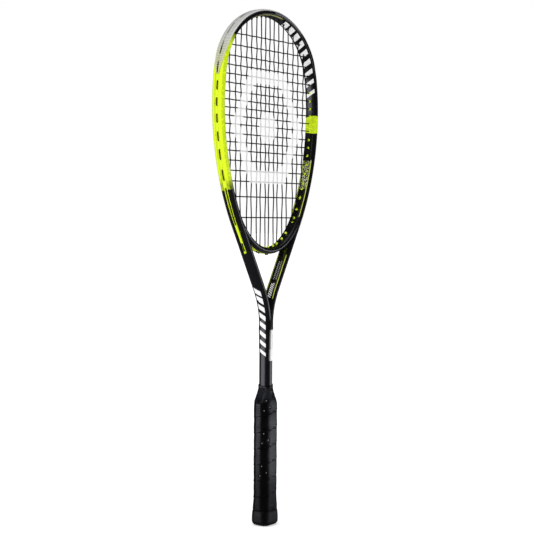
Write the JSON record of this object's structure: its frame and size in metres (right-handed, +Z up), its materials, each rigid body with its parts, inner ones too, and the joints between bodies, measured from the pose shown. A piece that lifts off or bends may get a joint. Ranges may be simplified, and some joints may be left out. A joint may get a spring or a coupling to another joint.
{
  "type": "squash racket",
  "caption": "Squash racket: strung teardrop head, open split throat with a curved bridge, slim shaft and a wrapped handle with a flared butt cap.",
  "frame": {"origin": "centre of the flat end of the butt cap, on the shaft's axis", "axes": "+Z up the shaft to the tip of the head, X across the head, Y through its thickness with the front face towards -Y"},
  "size_m": [0.2146, 0.0286, 0.686],
  "materials": {
    "frame_paint": "gloss lacquer over carbon composite, black with a neon yellow band on the left side",
    "bridge_paint": "gloss black lacquer",
    "bumper_nylon": "ribbed satin light grey nylon, black on its right half",
    "grommet_nylon": "satin neon yellow nylon",
    "string": "black polyester multifilament with a pale stencil",
    "handle_foam": "moulded rigid foam",
    "core_foam": "light expanded foam",
    "balance_putty": "dense silicone",
    "butt_plastic": "fine textured black plastic",
    "tack_steel": "zinc plated",
    "grip_pu": "perforated black polyurethane",
    "tape": "black vinyl tape"
  },
  "bodies": {
    "root": {"head_tube": "frame_paint", "left_throat_leg": "frame_paint", "right_throat_leg": "frame_paint", "throat_bridge": "bridge_paint", "shaft_tube": "frame_paint", "shaft_foam_cores": "core_foam", "balance_weight": "balance_putty", "bumper_guard": "bumper_nylon", "left_grommet_strip": "grommet_nylon", "right_grommet_strip": "grommet_nylon", "throat_grommet_strip": "grommet_nylon", "main_string": "string", "cross_string": "string", "tie_off_knots": "string", "front_handle_pallet": "handle_foam", "back_handle_pallet": "handle_foam", "butt_cap": "butt_plastic", "butt_cap_tacks": "tack_steel", "grip_wrap": "grip_pu", "finishing_tape": "tape"}
  },
  "joints": []
}
